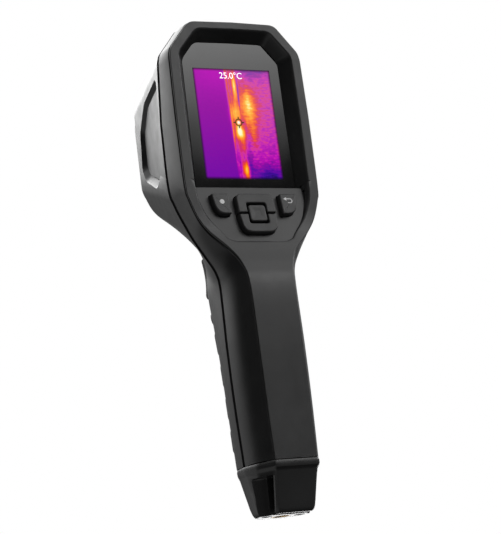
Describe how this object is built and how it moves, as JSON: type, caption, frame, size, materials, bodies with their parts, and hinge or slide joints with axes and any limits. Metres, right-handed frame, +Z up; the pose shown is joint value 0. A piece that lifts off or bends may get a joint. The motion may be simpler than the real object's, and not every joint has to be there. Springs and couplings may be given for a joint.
{
  "type": "thermal imaging camera",
  "caption": "Hand-held thermal imaging camera: chamfered head with a portrait screen and keys behind, lenses in front, straight pistol grip with trigger and strap foot.",
  "frame": {"origin": "on the floor plane at the foot's underside, under the centre of the bounding box", "axes": "+Z up along the grip, -Y out of the screen towards the user, +Y out of the lenses, +X to the user's right"},
  "size_m": [0.064, 0.0814, 0.21],
  "materials": {
    "case": "fine-grained dark grey moulded plastic",
    "key": "satin dark grey silicone-coated key",
    "elastomer": "soft dark elastomer",
    "seal": "black foam seal",
    "gloss_black": "polished black window",
    "lcd": "lit colour display showing a heat picture",
    "inner_plastic": "plain moulded plastic",
    "circuit_board": "green solder mask",
    "cell_wrap": "shrink wrap",
    "steel": "plain steel",
    "brass": "turned brass",
    "germanium": "coated germanium lens, opaque to the eye",
    "clear_lens": "clear polished lens",
    "socket_yellow": "yellow socket moulding"
  },
  "bodies": {
    "housing": {"rear_cover": "case", "middle_frame": "case", "front_shell": "case", "rear_seal": "seal", "front_seal": "seal", "grip_pad": "elastomer", "side_panel_left": "case", "side_panel_right": "case", "display_window": "gloss_black", "lcd_panel": "lcd", "lcd_bracket": "steel", "key_mat": "elastomer", "key_board": "circuit_board", "nose_ring": "case", "nose_window": "gloss_black", "infrared_barrel": "inner_plastic", "infrared_lens": "germanium", "infrared_sensor": "steel", "worklight_lens": "clear_lens", "worklight_emitter": "circuit_board", "camera_lens": "gloss_black", "camera_module": "inner_plastic", "laser_lens": "clear_lens", "laser_module": "brass", "flap_pin": "steel", "port_tray": "inner_plastic", "thermocouple_socket": "socket_yellow", "usb_socket": "steel", "trigger_spring": "steel", "trigger_switch": "inner_plastic", "main_board": "circuit_board", "battery_carrier": "inner_plastic", "battery_cell": "cell_wrap", "foot": "case", "strap_pin": "steel", "tripod_insert": "brass", "end_plate": "inner_plastic", "foot_screw_left": "steel", "foot_screw_right": "steel"},
    "key_capture_body": {"key_capture": "key"},
    "key_up_body": {"key_up": "key"},
    "key_down_body": {"key_down": "key"},
    "key_select_body": {"key_select": "key"},
    "key_back_body": {"key_back": "key"},
    "trigger_body": {"trigger": "elastomer"},
    "flap_body": {"port_flap": "elastomer"}
  },
  "joints": [
    {"name": "press_capture", "type": "slide", "parent": "housing", "child": "key_capture_body", "axis": [0, 0.9833, -0.1822], "range_m": [0, 0.0007], "stiffness_N_per_m": 1200, "springref_m": -0.0002},
    {"name": "press_up", "type": "slide", "parent": "housing", "child": "key_up_body", "axis": [0, 0.9833, -0.1822], "range_m": [0, 0.0007], "stiffness_N_per_m": 1200, "springref_m": -0.0002},
    {"name": "press_down", "type": "slide", "parent": "housing", "child": "key_down_body", "axis": [0, 0.9833, -0.1822], "range_m": [0, 0.0007], "stiffness_N_per_m": 1200, "springref_m": -0.0002},
    {"name": "press_select", "type": "slide", "parent": "housing", "child": "key_select_body", "axis": [0, 0.9833, -0.1822], "range_m": [0, 0.0007], "stiffness_N_per_m": 1200, "springref_m": -0.0002},
    {"name": "press_back", "type": "slide", "parent": "housing", "child": "key_back_body", "axis": [0, 0.9833, -0.1822], "range_m": [0, 0.0007], "stiffness_N_per_m": 1200, "springref_m": -0.0002},
    {"name": "pull_trigger", "type": "slide", "parent": "housing", "child": "trigger_body", "axis": [0, -1, 0], "range_m": [0, 0.0035], "stiffness_N_per_m": 1500, "springref_m": -0.0005, "deforming": ["trigger_spring"]},
    {"name": "open_flap", "type": "hinge", "parent": "housing", "child": "flap_body", "pos_m": [0, -0.01405, 0.20781], "axis": [1, 0, 0], "range_deg": [0, 105]}
  ]
}
